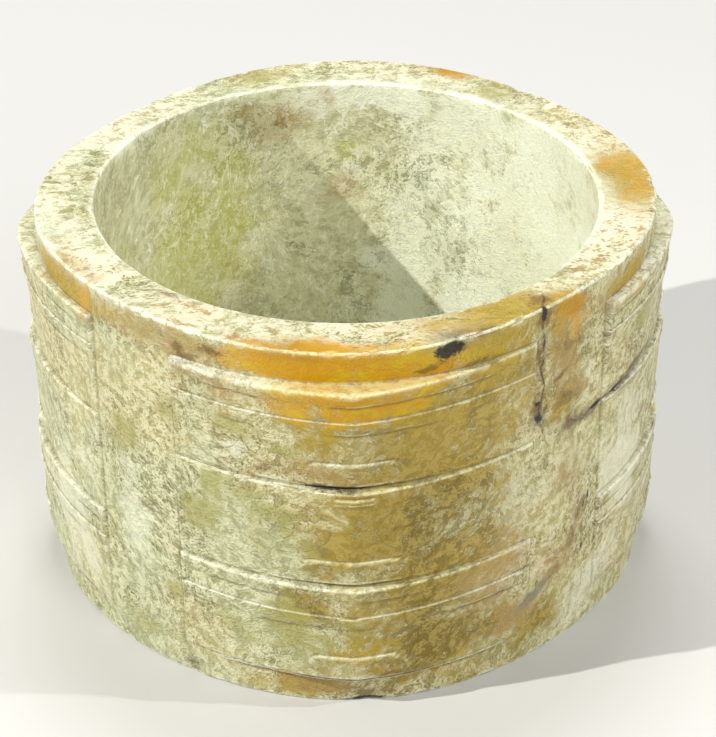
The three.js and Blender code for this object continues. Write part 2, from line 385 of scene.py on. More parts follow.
# Places on the stone: degrees off the front ridge, then off the axis and up in mm, half sizes along the ring,
# outward and up in mm, and a tilt in degrees where it leans. The whole outer face counts as 38 off the axis
stains = dict(
    amber=[
        (-5, 38, 48.6, 11, 4, 4.2), (6, 38, 48.2, 10, 4, 4.4), (1, 38, 44.2, 8.5, 3, 3.2),
        (15, 38, 47.6, 5.5, 3.5, 2.4), (158, 38, 47, 7, 3, 5), (46, 38, 48.8, 3.8, 2.4, 2.1),
    ],
    apricot=[
        (-57, 38, 47.2, 1.1, 2.4, 3.4, -10), (95, 36, 50.4, 5, 3.4, 2), (101, 33.4, 50.4, 3.4, 2, 2),
        (48, 38, 46.4, 3.4, 3, 2), (-18, 38, 48.4, 4, 3, 1.8), (-12, 37.4, 50.4, 9, 1.1, 0.5),
        (-10, 38, 44.4, 6, 3, 2),
    ],
    gold=[
        (1, 38, 44.6, 12, 4, 4.2), (25, 37.5, 49, 9.5, 5, 5), (32, 35, 50.4, 6.4, 6, 4),
        (3, 38, 8, 4.5, 3, 2.4), (43, 38, 48.5, 4, 4, 3), (96, 35, 50.4, 7, 4, 3), (99, 33, 50.4, 3, 3, 2),
        (63, 38, 47, 5, 3, 2), (-64, 38, 47.8, 8.4, 2.4, 2.2),
    ],
    tan=[
        (-36, 38, 48, 15, 4, 3.2), (-46, 38, 48, 6, 3, 2.4), (-23, 38, 48.6, 5.5, 3, 1.5),
        (-31, 38, 47, 4, 3, 1.8, 10), (-44.5, 38, 46.4, 2.6, 3, 1.2), (-37.5, 38, 47.2, 1.8, 3, 1.2),
        (-20, 38, 44.6, 8, 3, 1.8), (45, 38, 47.5, 5.5, 4, 5), (60, 38, 46.5, 8, 3, 3),
        (-62, 38, 48.6, 8, 3, 2.6), (-55, 38, 46, 2, 3, 5, -20), (44, 38, 12, 5, 4, 4, 40),
        (47.5, 38, 14, 2.6, 3, 4.6, -25), (33, 38, 7, 7, 4, 3, 15), (28, 38, 14, 6, 4, 6),
        (-8, 38, 34.6, 7, 3, 2), (43, 38, 41, 3.4, 3, 4), (-162, 31.5, 45, 5, 3, 3.4),
        (179, 31.5, 34, 3, 3, 2.4), (-177, 31.5, 48.2, 0.9, 2, 2.4, -25), (-6, 38, 3, 8, 3, 2.4),
        (47, 38, 25, 3, 3, 5), (-38, 33.4, 50.4, 7, 1.3, 1), (-22, 36.6, 50.4, 5, 1, 1),
    ],
    fresh=[
        (16, 38, 41.5, 16.5, 6, 7.5), (24, 38, 43.5, 9, 5, 5), (14, 38, 35.5, 12.5, 5, 6.5),
        (5.5, 38, 27, 8, 5, 10), (19.5, 38, 29.5, 6, 4, 5.5, -10), (11, 38, 15, 7.6, 5, 8),
        (14, 38, 8, 11, 5, 6.5, -8), (18, 38, 20, 8, 4, 6), (43.5, 38, 36.5, 3, 3, 2.8, 20),
        (45, 38, 44, 4, 3, 4), (-7, 38, 15, 3, 3, 3), (27, 38, 8, 4, 3, 3), (38, 38, 5, 5, 3, 3.6, 20),
        (140, 38, 30, 12, 4, 8, 30), (-150, 38, 20, 13, 4, 4.6, 25), (-10, 38, 2.4, 6, 3, 1.6),
        (-138, 38, 12, 6, 4, 3.4, 10), (105, 38, 14, 9, 4, 4, -20), (-111, 38, 42, 9, 4, 2.6, -25),
        (-101, 38, 37, 5, 3, 2.2, 10), (160, 38, 10, 10, 4, 4, 15),
    ],
    # the brown at 23 degrees on the rim's front edge is a painted shadow of the chip there, and the brown
    # along the top tier's foot, 32.2 to 33.4 mm up, is stain and painted shade in its groove together
    brown=[
        (37.6, 38, 44, 1.1, 4, 7), (38.4, 38, 49, 2, 1.4, 2.2), (40, 36, 50.4, 1.2, 1.8, 1),
        (37.2, 38, 36.6, 1.5, 4, 2.6), (50, 38, 32.2, 4.4, 4, 1.5), (60, 38, 32.6, 6, 4, 1.1),
        (70, 38, 33.4, 6, 4, 0.9, 5), (-3, 38, 32.6, 6.5, 3, 0.5), (23, 38, 50.3, 3.6, 1, 0.5),
        (42, 38, 39.6, 1.6, 4, 0.6, 20), (44.5, 38, 36.6, 1.5, 4, 0.6, -20), (48, 38, 14.4, 0.9, 4, 2, -30),
        (43.5, 38, 11, 1.2, 4, 0.8, 30), (50, 38, 17.5, 0.8, 4, 2.4, -30), (2, 38, 1.2, 4, 3, 0.6),
        (-33, 38, 1.6, 1.3, 3, 1.3, 20), (-83.8, 37.6, 50.4, 0.5, 0.9, 1), (-82, 34.2, 50.4, 0.5, 1, 1),
        (-41, 38, 45, 1.2, 2, 1), (-165, 31.5, 45.4, 0.9, 1.5, 1), (-42, 33, 50.4, 1.8, 0.5, 0.6),
        (-33, 38, 47.6, 1.2, 2, 0.7), (-26, 38, 48.5, 1.4, 2, 0.6), (-31, 38, 46.6, 1.4, 2, 0.5, 20),
        (-36.4, 38, 48.6, 1, 2, 0.5, -20), (50, 33.6, 50.4, 1.4, 1.6, 1, 30), (13, 38, 47.1, 2.6, 2, 0.5),
        (23, 38, 46.6, 2.4, 2, 0.5), (9, 38, 4.6, 5, 2, 0.8), (-15, 38, 34.4, 1.6, 2, 0.7),
        (17, 38, 47.6, 2.4, 2, 0.9),
    ],
    # the dark spots along the top tier's foot, 32.3 to 32.6 mm up, are painted shade in the groove under that
    # tier
    dark=[
        (17.6, 38, 49.2, 2.5, 2.6, 1.35, 5), (38, 38, 49.6, 0.5, 1, 1.2),
        (37.8, 38, 45.4, 0.25, 2.5, 1.2, 8), (37.2, 38, 35.2, 0.7, 2.5, 1.1, 30),
        (37, 38, 37.4, 0.5, 2.5, 0.4), (-4.5, 38, 32.45, 4.2, 3, 0.2), (53.5, 38, 32.3, 1.6, 3, 0.4, 5),
        (61, 38, 32.6, 1.8, 3, 0.3, 8), (1.5, 38, 0.4, 2.6, 2, 0.4), (52.4, 38, 19, 0.4, 2.5, 1.6, -30),
        (52, 38, 12.6, 0.4, 2.5, 1.5, -30),
    ],
    # the slate spots along the top tier's foot, 32 to 32.6 mm up, are stain and painted shade in the groove
    # under that tier together
    slate=[
        (18, 37, 50.3, 5, 1.8, 2), (37.2, 38, 35.2, 1.8, 3, 1.6), (52, 38, 32, 4, 3, 1.2),
        (63, 38, 32.6, 6, 3, 0.8, 4), (-32.6, 38, 1.7, 1.6, 1.5, 1.2), (38.5, 38, 9.4, 3, 3, 1, 20),
    ],
    olive=[
        (-49.1, 38, 39.4, 1.6, 2, 1.3), (-47.5, 38, 32.4, 2.7, 2, 2.7, 20), (-26.5, 38, 30.4, 2, 2, 1.9),
        (-36.5, 38, 38.3, 1.5, 2, 1.6), (-12, 38, 37.2, 1.8, 2, 1.1), (-73.8, 36.2, 50.4, 1.2, 1.2, 1),
        (-141, 31.5, 33, 9, 3, 11), (-131, 31.5, 24, 9, 3, 11), (-152, 31.5, 40, 4, 2, 2.4),
        (154, 31.5, 34, 1.8, 2, 2.6, 10), (178, 31.5, 41, 1.4, 2, 1.6), (-40, 38, 48, 3, 3, 1.6),
        (-30, 38, 48.6, 3, 3, 1.2), (-22, 38, 10, 4, 2, 2.4), (-44, 38, 4, 4.5, 2, 2.2, 20),
        (-36, 38, 12, 2, 2, 1.6), (-28, 38, 25, 2.6, 2, 2), (70, 38, 40, 3, 2, 2), (120, 38, 20, 4, 2, 3),
        (-120, 38, 36, 5, 2, 4), (-162, 36, 50.4, 2.4, 2, 1), (145, 35.5, 50.4, 2.2, 2, 1),
        (-10, 38, 11, 6, 3, 4), (-20, 38, 39, 2, 1.5, 1.2), (-13, 38, 24, 3, 3, 2.6), (-16, 38, 28, 4, 3, 2),
    ],
    veined=[
        (165, 31.5, 37, 6, 3, 4), (158, 31.5, 32.4, 2, 2, 2.4, 20), (172, 31.5, 38.6, 4, 3, 2.4),
        (153.5, 31.5, 40.2, 1.6, 2, 1.4), (156.5, 31.5, 22.2, 1.4, 2, 1.8), (-174, 31.5, 38.6, 2.4, 2, 2),
        (-178.5, 31.5, 43.2, 1.5, 2, 1.6), (174, 31.5, 17, 1.8, 2, 1.8), (179, 31.5, 25.4, 1, 2, 1.1),
        (174.5, 31.5, 25.6, 1, 2, 0.9), (170.5, 31.5, 24.4, 1.2, 2, 1.6), (178, 31.5, 21.6, 2.4, 2, 1.6),
        (-169, 31.5, 26, 2, 2, 1.4, 20), (148, 31.5, 31, 1.2, 2, 1.4), (141, 31.5, 32, 0.5, 2, 2.4),
        (137, 31.5, 41, 0.5, 2, 1.6, 20), (-158, 31.5, 45, 6, 3, 4), (150, 31.5, 27, 5, 3, 5),
    ],
    crust=[
        (-35, 35, 50.4, 9, 4.5, 1.2), (-8, 35, 50.4, 12, 4.5, 0.9), (15, 35.6, 50.4, 9, 3.2, 0.6),
        (46, 34.4, 50.4, 5, 3, 1.2), (57, 35, 50.4, 9, 4, 1.2), (-90, 36, 50.4, 9, 4, 1.2),
        (75, 35, 50.4, 6, 4, 1.2), (51, 38, 4, 2.2, 2, 3.4, -20), (115, 36, 50.4, 9, 4, 1.2),
        (-62, 35, 50.4, 9, 4, 1.2), (-130, 36, 50.4, 14, 4, 1.2), (170, 36, 50.4, 12, 4, 1.2),
    ],
    pale=[
        # the spots inside the bore from 60 to 174 degrees lie on its right wall, where the key light falls:
        # paler stone and painted light together
        (80, 31.5, 28, 16, 4, 50), (100, 31.5, 28, 16, 4, 50), (122, 31.5, 28, 16, 4, 50),
        (144, 31.5, 26, 14, 3, 40), (174, 31.5, 48.4, 13, 3, 3), (162, 31.5, 20, 9, 3, 30),
        (60, 31.5, 28, 20, 4, 44), (-20.2, 38, 36.3, 1.6, 2, 1.5), (-46, 38, 20, 2.6, 4, 9),
        (-66, 38, 14, 6, 4, 8), (50.5, 38, 4.5, 4.6, 3, 6, -25), (-100, 38, 20, 12, 4, 14),
        (66, 38, 20, 8, 4, 9), (-70, 36, 50.4, 22, 4, 1.6), (-120, 36, 50.4, 22, 4, 1.6),
    ],
)
# Chips and knocks: degrees off the front ridge, mm off the axis and up, and their radius and depth in mm
dents = [
    (-32.4, 37.9, 0.6, 2, 0.5), (-18.3, 38.6, 0.2, 1.6, 0.25), (3, 38.6, 0.2, 2.6, 0.35),
    (52, 37.6, 2, 2.2, 0.35), (18.5, 38.7, 49.9, 2.2, 0.3), (37.8, 38.1, 49.8, 1.3, 0.35),
    (38.1, 38.1, 34.2, 1.2, 0.3), (-1, 40.9, 32.1, 1.8, 0.18), (-24, 38.7, 50.2, 1.4, 0.18),
    (-47, 37.9, 50.2, 1.8, 0.2), (-71, 39.3, 50.2, 1.4, 0.15), (14, 40.2, 18.2, 1.6, 0.2),
    (-12, 40.3, 46.3, 1.5, 0.16), (26, 38.3, 46.3, 2, 0.22), (-83, 40.9, 32.2, 1.8, 0.2),
    (84, 40.4, 18.2, 1.8, 0.22), (60, 38.4, 50.2, 1.6, 0.18), (93, 38.8, 50.2, 1.8, 0.2),
    (140, 37.4, 50.1, 2.4, 0.3), (-150, 37.8, 50.1, 2.2, 0.25), (175, 41.2, 46.2, 2.2, 0.35),
    (-128, 37.4, 0.4, 2.6, 0.4), (110, 37.4, 0.4, 2.2, 0.35), (-100, 39.6, 46.2, 2, 0.25),
    (-60, 38, 0.5, 2.2, 0.3), (30, 31.7, 50.2, 1.2, 0.15), (-60, 31.9, 50.2, 1.4, 0.15),
    (165, 31.7, 50.2, 1.6, 0.2), (51, 37.9, 8.4, 1.3, 0.28), (52.4, 37.9, 12.4, 1.2, 0.25),
    (53, 38, 16.4, 1.1, 0.2), (50, 37.8, 5.2, 1.2, 0.2),
]


def stainCloseness(points, spots):
    # 1 at a spot's middle, 0 at its border and falling on outside: one less the distance over its half sizes
    nearest = np.full(points.shape[:-1], -2.0)
    for angle, radius, z, halfAlong, halfOut, halfUp, *tilt in spots:
        turn = math.radians(angle)
        lean = math.radians(sum(tilt))
        along = np.array([math.cos(turn), math.sin(turn), 0.0])
        outward = np.array([math.sin(turn), -math.cos(turn), 0.0])
        away = points - ringPoint(angle, radius * mm, z * mm)
        alongRing = away @ along
        tilted = alongRing * math.cos(lean) + away[..., 2] * math.sin(lean)
        rise = away[..., 2] * math.cos(lean) - alongRing * math.sin(lean)
        halves = np.sqrt((tilted / (halfAlong * mm)) ** 2 + (away @ outward / (halfOut * mm)) ** 2
                         + (rise / (halfUp * mm)) ** 2)
        nearest = np.maximum(nearest, 1.0 - halves)
    return nearest


def wearDown(points):
    # the surface moves in along its normal at each dent, and a little either way by noise
    normals = gridNormals(points)
    depth = np.zeros(points.shape[:2])
    for angle, radius, z, size, deep in dents:
        away = np.linalg.norm(points - ringPoint(angle, radius * mm, z * mm), axis=2)
        torn = wearing["dentTear"] * spaceNoise(points, wearing["dentTearSize"] * mm, 61)
        away = away * (1.0 + torn)
        depth += deep * mm * (1.0 - ease(0.0, 1.0, away / (size * mm)))
    for name in ("wave", "fine"):
        for size, weight, seed in wearing[name + "Noises"]:
            depth += wearing[name] * weight * spaceNoise(points, size * mm, seed)
    bites = spaceNoise(points, wearing["nibbleSize"] * mm, 66) - 0.1
    atEdges = ease(0.3, 1.2, gridBend(points, normals))
    depth += wearing["nibble"] * atEdges * np.clip(bites, 0.0, 1.0)
    return points - normals * depth[..., None]


def lineAround(across, z, name):
    # signed distance to an oval line on each panel, in half line widths, positive outside it
    off, share, half, halfHigh = carving[name]
    nearest = np.full(across.shape, farAway)
    for tierIndex, tier in enumerate(tiers):
        if tier["mask"] == name.startswith("mask"):
            middle = tierTop(tierIndex) - share * stone["tier"]
            away = np.hypot((np.abs(across) / mm - off) / half, (z - middle) / mm / halfHigh) - 1.0
            nearest = np.minimum(nearest, away * 0.5 * (half + halfHigh) / carving["lineHalf"])
    return np.clip(nearest, -lineReach, lineReach)


def crackDistance(angle, climb, points):
    # signed distance to the nearest crack on the unrolled surface, in its half widths, and how near it runs
    perDegree = math.radians(1.0) * faceRadius / mm
    around = (np.degrees(angle) + 180.0) % 360.0 - 180.0
    x = around * perDegree + crackSwerve * spaceNoise(points, crackSwerveSize * mm, 101)
    y = climb + crackSwerve * spaceNoise(points, crackSwerveSize * mm, 102)
    nearest = np.full(x.shape, farAway)
    signed = np.full(x.shape, farAway)
    for half, course in cracks:
        for (fromAngle, fromClimb), (toAngle, toClimb) in zip(course, course[1:]):
            runX, runY = (toAngle - fromAngle) * perDegree, toClimb - fromClimb
            awayX, awayY = x - fromAngle * perDegree, y - fromClimb
            share = np.clip((awayX * runX + awayY * runY) / (runX ** 2 + runY ** 2), 0.0, 1.0)
            distance = np.hypot(awayX - runX * share, awayY - runY * share)
            side = np.sign(awayX * runY - awayY * runX)
            closer = distance < nearest
            signed = np.where(closer, side * distance / half, signed)
            nearest = np.where(closer, distance, nearest)
    return np.clip(signed, -crackReach, crackReach), 1.0 - ease(*crackNear, nearest)


def bedded(points):
    # the stone's own grain, in mm: stretched across its beds, which dip towards the front, and bent by noise
    dip = np.array([0.0, -1.5, 1.0])
    across = dip / np.linalg.norm(dip)
    place = points / mm
    place = place + np.outer((look["bedding"] - 1.0) * (place @ across), across).reshape(points.shape)
    for layer, (step, reach) in enumerate(look["bedBends"]):
        seed = 80 + 3 * layer
        bend = [spaceNoise(points, step * mm, seed + axis) for axis in range(3)]
        place = place + reach * np.stack(bend, axis=-1)
    return place


def mark(mesh, name, values):
    # one number or one vector at each point, for the material to read
    kind, field = ("FLOAT", "value") if values.ndim == 2 else ("FLOAT_VECTOR", "vector")
    layer = mesh.attributes.new(name, kind, "POINT")
    layer.data.foreach_set(field, np.ascontiguousarray(values, dtype=np.float32).ravel())


def gridMesh(name, points):
    # four-sided faces between neighbouring rows and columns, which close up both ways
    rows, columns = points.shape[:2]
    index = np.arange(rows * columns).reshape(rows, columns)
    right = np.roll(index, -1, axis=1)
    up = np.roll(index, -1, axis=0)
    corner = np.roll(right, -1, axis=0)
    faces = np.stack([index, right, corner, up], axis=2).reshape(-1, 4)
    mesh = bpy.data.meshes.new(name)
    mesh.from_pydata(points.reshape(-1, 3), [], faces.tolist())
    mesh.polygons.foreach_set("use_smooth", np.ones(len(faces), dtype=bool))
    mesh.update()
    print("ring:", rows, "rows,", columns, "columns,", 2 * rows * columns, "triangles")
    return mesh


def placed(name, data):
    # a new object, put in the scene
    made = bpy.data.objects.new(name, data)
    bpy.context.scene.collection.objects.link(made)
    return made


def markStains(mesh, points, turn, radius, z):
    # each stain's closeness, with the carving pressed flat, and let wander by noise
    shell = faceRadius + np.minimum(radius - wallRadius(turn, z), 0.0)
    flattened = np.stack([shell * np.sin(turn), -shell * np.cos(turn), z], axis=2)
    wander = layeredNoise(points, look["wanderSize"], 70)
    below = ease(*look["setsIn"]["crustEnd"], (height - z) / mm)
    for name, spots in stains.items():
        closeness = stainCloseness(flattened, spots) + look["wander"][name] * wander
        mark(mesh, name, closeness - 3.0 * below if name == "crust" else closeness)


def markEdges(mesh, points, turn, radius, z):
    # where edges and up-facing ledges are painted pale, wear and painted highlight together, and where
    # hollows and the side panels' scored edges are painted dark, dirt and painted shade together
    normals = gridNormals(points)
    bend = gridBend(points, normals)
    off, edge = panelPlace(turn)[2:]
    place = points[..., 2]
    topLedge = look["topLedge"] + look["topLedgeLeft"] * ease(*carving["leftFrom"], off)
    pale = np.where(place > tierTop(0) - look["topLedgeDown"] * mm, topLedge, look["lowLedge"])
    # up-facing ledges are painted pale: wear and painted highlight from above together
    facing = ease(*look["setsIn"]["ledge"], normals[..., 2]) * (place < height - 0.6 * mm)
    ledges = facing * np.where(bend > 0.15, 1.0, pale)
    mark(mesh, "edge", np.maximum(ease(*look["setsIn"]["edge"], bend), ledges))
    scored = np.abs(np.abs(off) / edge - 1.0) < 0.004
    scored = scored & (np.abs(turn - math.radians(quarter / 2)) > math.radians(look["scoreBare"]))
    scored = scored & (z > stone["footCollar"]) & (z < tierTop(0))
    scored = scored & (radius > stone["bore"] + 0.5 * stone["wall"])
    scoring = look["score"] + look["scoreSwing"] * spaceNoise(points, look["scoreSize"] * mm, 72)
    # hollows and scored edges painted dark: dirt and painted shade together
    mark(mesh, "hollowDirtShade", np.maximum(ease(*look["setsIn"]["hollowDirtShade"], -bend), np.where(scored, scoring, 0.0)))


def markGrain(mesh, points, turn, radius, z):
    # how far in the bore and on the warm side each point is, and the stone's grain, clouds and pits
    inBore = ease(*look["setsIn"]["bore"], (radius - boreRadius(turn, z)) / mm)
    mark(mesh, "bored", inBore)
    mark(mesh, "warm", ease(*look["setsIn"]["warm"], np.sin(turn + look["warmTurn"])) * (1.0 - inBore))
    mark(mesh, "bedded", bedded(points))
    mark(mesh, "clouds", layeredNoise(points, look["cloudSize"], 90))
    mark(mesh, "pitted", layeredNoise(points, look["pittedSize"], 95))


def markLines(mesh, points, turn, z, surface):
    # the incised eyes on the outside, and the cracks. The climb is the height up the outside, and from the
    # rim it runs on over the top and down the bore, in mm
    steps = np.linalg.norm(np.diff(surface, axis=0), axis=2).mean(axis=1) / mm
    climb = np.concatenate([[0.0], np.cumsum(steps)])
    rows = np.arange(len(climb))
    rim = int(np.argmax(z[:, 0] > height - 0.5 * stone["edgeRound"]))
    climb = np.where(rows <= rim, z.mean(axis=1) / mm, height / mm + climb - climb[rim])
    across = panelPlace(turn)[1]
    for name in eyeLines:
        mark(mesh, name, np.where((rows <= rim)[:, None], lineAround(across, z, name), lineReach))
    signed, nearness = crackDistance(turn, climb[:, None], points)
    mark(mesh, "crack", signed)
    mark(mesh, "crackNearness", nearness)


def makeRing():
    # the stone as one grid of points, worn down, with what the material reads marked on it
    angle = columnAngles()
    radius, z = sectionRows(angle)
    turn = np.broadcast_to(angle, radius.shape)
    surface = np.stack([radius * np.sin(turn), -radius * np.cos(turn), z], axis=2)
    points = wearDown(surface)
    points[..., 2] = np.clip(points[..., 2], 0.0, height)
    mesh = gridMesh("jadeCong", points)
    markStains(mesh, points, turn, radius, z)
    markEdges(mesh, points, turn, radius, z)
    markGrain(mesh, points, turn, radius, z)
    markLines(mesh, points, turn, z, surface)
    return placed("jadeCong", mesh)


# Colours are linear. Sizes of the pattern are in mm
look = dict(
    cream=(0.54, 0.49, 0.24),
    mint=(0.46, 0.49, 0.28),
    beige=(0.50, 0.41, 0.15),
    pale=(0.80, 0.79, 0.54),
    paleMint=(0.92, 0.96, 0.82),
    boreTone=(0.66, 0.66, 0.43),
    boreShade=(0.40, 0.39, 0.22),
    oliveDeep=(0.20, 0.17, 0.045),
    oliveStain=(0.37, 0.35, 0.10),
    greenStain=(0.50, 0.50, 0.13),
    apricotBase=(0.60, 0.34, 0.055),
    furrowBase=(0.19, 0.15, 0.06),
    veinBase=(0.215, 0.22, 0.095),
    freshLight=(0.31, 0.21, 0.015),
    freshDeep=(0.17, 0.113, 0.004),
    freshVein=(0.45, 0.335, 0.065),
    tanBase=(0.42, 0.28, 0.11),
    goldBase=(0.43, 0.29, 0.014),
    amberBase=(0.55, 0.285, 0.001),
    amberDeep=(0.42, 0.21, 0.002),
    amberLight=(0.58, 0.40, 0.006),
    slateBase=(0.17, 0.175, 0.155),
    brownBase=(0.15, 0.075, 0.014),
    darkBase=(0.014, 0.012, 0.014),
    crustBase=(0.76, 0.70, 0.53),
    spotBase=(0.40, 0.26, 0.11),
    crackBase=(0.055, 0.03, 0.018),
    # pale edges and ledges: wear and painted highlight together
    edgeWearHighlight=(0.93, 0.95, 0.76),
    edgeGoldWearHighlight=(0.74, 0.70, 0.33),
    # hollows and scored panel edges painted dark: dirt and painted shade together
    hollowDirtShadeBase=(0.13, 0.08, 0.03),
    bedding=1.5,
    bedBends=((9.0, 1.6), (3.6, 0.7), (1.6, 0.3)),  # size and reach of the noises that bend the beds
    cloudSize=9.0, pittedSize=7.0, mottleSize=1.75, grainSize=0.38, fibreSize=1.2, veinSize=2.4,
    veinRun=(1.0, 1.0, 0.35),
    curling=(0.8, -0.7, 0.75),  # mm that the mottle pushes the finer noise
    wanderSize=4.0,
    wander=dict(amber=0.4, apricot=0.8, gold=0.7, tan=0.9, fresh=0.7, brown=0.7, dark=0.3, slate=0.7,
                olive=1.0, veined=0.8, crust=0.8, pale=0.8),
    # ranges over which marks set in: mm below the top face and outside the bore, the sine of the angle, how
    # sharply an edge or a hollow turns per mm, and how far up a ledge faces
    setsIn=dict(crustEnd=(0.3, 0.9), bore=(1.2, 0.2), warm=(-0.4, 0.9), edge=(0.35, 1.3), hollowDirtShade=(0.25, 1.3),
                ledge=(0.35, 0.8)),
    warmTurn=0.3,
    # the ledges' paleness is wear and painted highlight together
    topLedge=0.6,  # how pale the ledges are: the top one, its left side, the others
    topLedgeLeft=0.7, lowLedge=0.4,
    topLedgeDown=0.4,  # mm down from the collar that count as the top ledge
    # the scored panel edges are painted dark, dirt and painted shade together
    score=0.55,  # how dark the side panels' scored edges are, and how it varies
    scoreSwing=0.3, scoreSize=3.0,
    scoreBare=9.5,  # no scoring this many degrees about the front right strip
    # each stain's border: how much it is torn, and the closeness where it starts and is full
    border=dict(
        amber=(0.9, -0.15, 0.5), gold=(1.6, -0.4, 0.7), apricot=(2.0, -0.3, 0.7), tan=(2.4, -0.3, 0.7),
        fresh=(2.8, -0.45, 0.5), brown=(2.8, -0.2, 0.8), dark=(1.1, -0.05, 0.35), slate=(1.6, -0.3, 0.9),
        olive=(2.6, -0.4, 0.6), veined=(2.6, -0.4, 0.5), crust=(2.4, -0.3, 0.6), pale=(1.2, -0.3, 0.6),
    ),
    veinedCore=(2.0, 0.4, 0.9),
    # how strongly each tone is laid over what is under it
    strength=dict(
        fresh=0.92, olive=1.0, tan=1.0, crust=0.7, gold=0.85, spot=0.75, apricot=0.7, amber=0.97, slate=0.7,
        # worn lays the pale edges and ledges, wear and painted highlight together; the hollows' tone is dirt
        # and painted shade together
        brown=0.75, hollowDirtShade=0.65, worn=0.75, dark=0.95, line=0.35, crack=0.85, vein=0.7, fibre=0.5,
    ),
    roughness=(0.30, 0.42),
    roughPits=0.2, roughHollow=0.4, smoothFresh=0.12, ior=1.61, specular=0.25,
    crackDepth=0.12,  # mm
    bumpStrength=0.9,
)
# Polylines on the unrolled surface: half width in mm, then degrees off the front ridge and mm of climb
cracks = [
    (0.11, [(41.2, 52.8), (38.2, 50.4), (37.6, 48.0), (38.4, 45.5), (37.4, 42.0), (38.3, 39.5), (37.2, 36.5),
            (38.2, 33.4)]),
    (0.04, [(46.0, 32.4), (50.0, 31.6), (54.7, 32.6), (62.0, 32.0)]),
    (0.04, [(49.0, 10.5), (51.0, 14.0), (53.6, 20.5)]),
    (0.03, [(51.0, 5.0), (52.6, 9.5), (54.0, 12.5)]),
]
crackSwerve = 0.45
crackSwerveSize = 1.5
crackNear = (0.5, 1.1)
# Distances kept on the points, in half widths, and one past them all
lineReach = 12.0
crackReach = 16.0
farAway = 99.0


jade = bpy.data.materials.new("jade")
jade.use_nodes = True
tree = jade.node_tree


def node(kind, **settings):
    # a new node in the stone's material
    made = tree.nodes.new("ShaderNode" + kind)
    for key, value in settings.items():
        setattr(made, key, value)
    return made


def put(socket, value):
    # links another socket to this one, or sets its own value, with a colour given by its name in the look
    if isinstance(value, bpy.types.NodeSocket):
        tree.links.new(value, socket)
    elif socket.type == "RGBA":
        socket.default_value = (*look[value], 1.0)
    else:
        socket.default_value = value


def fed(made, *values):
    # a node with its first sockets set, as its first output
    for socket, value in zip(made.inputs, values):
        put(socket, value)
    return made.outputs[0]


def maths(operation):
    # a function that adds a maths node with one operation
    return lambda *values: fed(node("Math", operation=operation), *values)


add, less, times, larger, magnitude = map(maths, ("ADD", "SUBTRACT", "MULTIPLY", "MAXIMUM", "ABSOLUTE"))


def stretch(value, low, high, outLow=0.0, outHigh=1.0):
    # smooth step of a value between low and high, to between outLow and outHigh
    return fed(node("MapRange", interpolation_type="SMOOTHSTEP"), value, low, high, outLow, outHigh)


def noise(place, scale, detail=2.0, rough=0.5):
    made = node("TexNoise")
    for name, value in (("Vector", place), ("Scale", 1.0 / scale), ("Detail", detail), ("Roughness", rough)):
        put(made.inputs[name], value)
    return made.outputs["Fac"]


def blend(share, first, second):
    # mixes two colours, which are a colour mix node's sockets 6 and 7
    made = node("Mix", data_type="RGBA")
    for place, value in ((0, share), (6, first), (7, second)):
        put(made.inputs[place], value)
    return made.outputs[2]


def attribute(name, part="Fac"):
    return node("Attribute", attribute_name=name).outputs[part]


def layOver(colour, name, mask, tone=None):
    # lays a tone over a colour where its mask is, at its own strength
    return blend(times(mask, look["strength"][name]), colour, tone or name + "Base")


def finePattern():
    # the mottle, and the grain and fibres, which the mottle pushes about so that they curl
    bed = attribute("bedded", "Vector")
    mottle = noise(bed, look["mottleSize"], 3.0, 0.62)
    roughly = less(mottle, 0.5)
    push = node("VectorMath", operation="SCALE")
    put(push.inputs["Scale"], roughly)
    curled = fed(node("VectorMath", operation="ADD"), bed, fed(push, look["curling"]))
    grain = noise(curled, look["grainSize"], 2.0, 0.65)
    fibre = noise(curled, look["fibreSize"], 2.0, 0.55)
    finely = less(grain, 0.5)
    finer = add(times(finely, 0.5), times(less(fibre, 0.5), 0.5))
    pitted = attribute("pitted")
    return SimpleNamespace(
        mottle=mottle, roughly=roughly, curled=curled, grain=grain, finely=finely,
        fibres=stretch(magnitude(less(fibre, 0.52)), 0.035, 0.008),
        furrows=stretch(magnitude(less(fibre, 0.44)), 0.028, 0.006),
        ragged=add(roughly, times(finely, 0.6)),
        flakes=add(times(roughly, 0.6), finer),
        pits=stretch(add(times(grain, -1.0), times(pitted, 0.13)), -0.42, -0.34),
        etched=stretch(pitted, -0.35, 0.35),
        clouds=attribute("clouds"),
        bored=attribute("bored"),
    )


def stainMask(fine, name, tearing, start, full):
    # a stain's closeness, its border torn by the mottle and the grain
    return stretch(add(attribute(name), times(fine.ragged, tearing)), start, full)


def skinGround(fine, stain):
    # the altered skin: clouds of cream and mint, beiger to one side and by fresh stone, paler in the bore
    skin = blend(stretch(fine.clouds, -0.35, 0.35), "mint", "cream")
    beiging = larger(times(attribute("warm"), 0.55), times(stretch(attribute("fresh"), -1.2, 0.1), 0.6))
    skin = blend(beiging, skin, "beige")
    clouded = stretch(add(fine.clouds, times(fine.roughly, 1.5)), -0.5, 0.5, 0.7, 1.0)
    skin = blend(times(fine.bored, clouded), skin, "boreTone")
    shading = stretch(add(fine.roughly, times(fine.clouds, 0.3)), 0.02, -0.2, 0.0, 0.5)
    skin = blend(times(fine.bored, shading), skin, "boreShade")
    greening = stretch(attribute("olive"), -0.6, 0.7, 0.0, 0.78)
    skin = blend(times(fine.bored, greening), skin, "greenStain")
    # the pale spots, in the bore mostly on its right wall where the key light falls: paler stone and painted
    # light together
    paling = times(times(stain.pale, clouded), stretch(fine.bored, 0, 1, 0.55, 1.0))
    return blend(paling, skin, "paleMint")


